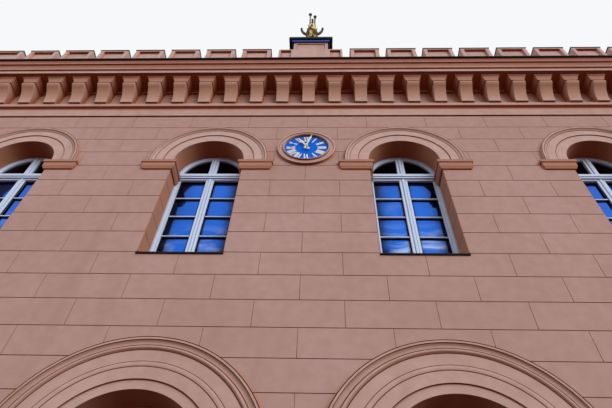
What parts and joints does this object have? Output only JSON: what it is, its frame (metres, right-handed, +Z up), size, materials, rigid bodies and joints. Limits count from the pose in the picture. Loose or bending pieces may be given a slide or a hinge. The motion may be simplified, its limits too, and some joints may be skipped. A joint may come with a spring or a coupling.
{
  "type": "two-storey town hall building",
  "caption": "Rendered masonry town hall: round-headed windows and doorways, bracketed cornice, battlemented parapet, wall clock with turning hands, hipped roof.",
  "frame": {"origin": "on the ground at the middle of the plan", "axes": "+Z up, front wall facing -Y, +X to the right as one faces the front"},
  "size_m": [17.71, 10.51, 17.49],
  "materials": {
    "render": "matt painted lime render ruled into blocks",
    "moulded_render": "matt painted moulded render",
    "floor": "plain screed",
    "painted_timber": "pale blue-grey gloss paint",
    "door_timber": "blue-grey gloss paint",
    "glass": "clear window glass",
    "dark_metal": "dark painted sheet",
    "roof_metal": "weathered grey sheet with standing seams",
    "dial_blue": "bright blue enamel",
    "gilding": "gold leaf"
  },
  "bodies": {
    "building": {"attic_floor": "floor", "back_consoles": "moulded_render", "back_parapet": "render", "back_wall_ground": "render", "back_wall_upper": "render", "clock_arbor": "gilding", "clock_dial": "dial_blue", "clock_ring": "moulded_render", "cornice": "moulded_render", "cornice_flashing": "dark_metal", "entrance_doors": "door_timber", "frieze": "moulded_render", "front_consoles": "moulded_render", "front_parapet": "render", "front_wall_ground": "render", "front_wall_upper": "render", "ground_aprons": "render", "ground_archivolts": "moulded_render", "ground_floor": "floor", "ground_frames": "painted_timber", "ground_glass": "glass", "ground_piers": "render", "imposts": "moulded_render", "left_consoles": "moulded_render", "left_parapet": "render", "left_wall_ground": "render", "left_wall_upper": "render", "merlons": "render", "ornament": "gilding", "pedestal": "render", "pedestal_cap": "dark_metal", "plinth": "render", "right_consoles": "moulded_render", "right_parapet": "render", "right_wall_ground": "render", "right_wall_upper": "render", "roof": "roof_metal", "upper_archivolts": "moulded_render", "upper_floor": "floor", "upper_frames": "painted_timber", "upper_glass": "glass", "upper_piers": "render", "window_sills": "dark_metal"},
    "minute_hand": {"minute_hand": "gilding"},
    "hour_hand": {"hour_hand": "gilding"}
  },
  "joints": [
    {"name": "minute_turn", "type": "hinge", "parent": "building", "child": "minute_hand", "pos_m": [0, -4.6, 9.893], "axis": [0, 1, 0], "continuous": true},
    {"name": "hour_turn", "type": "hinge", "parent": "building", "child": "hour_hand", "pos_m": [0, -4.6, 9.893], "axis": [0, 1, 0], "continuous": true}
  ],
  "couplings": [
    {"joint": "hour_turn", "follows": "minute_turn", "ratio": 0.083333}
  ]
}
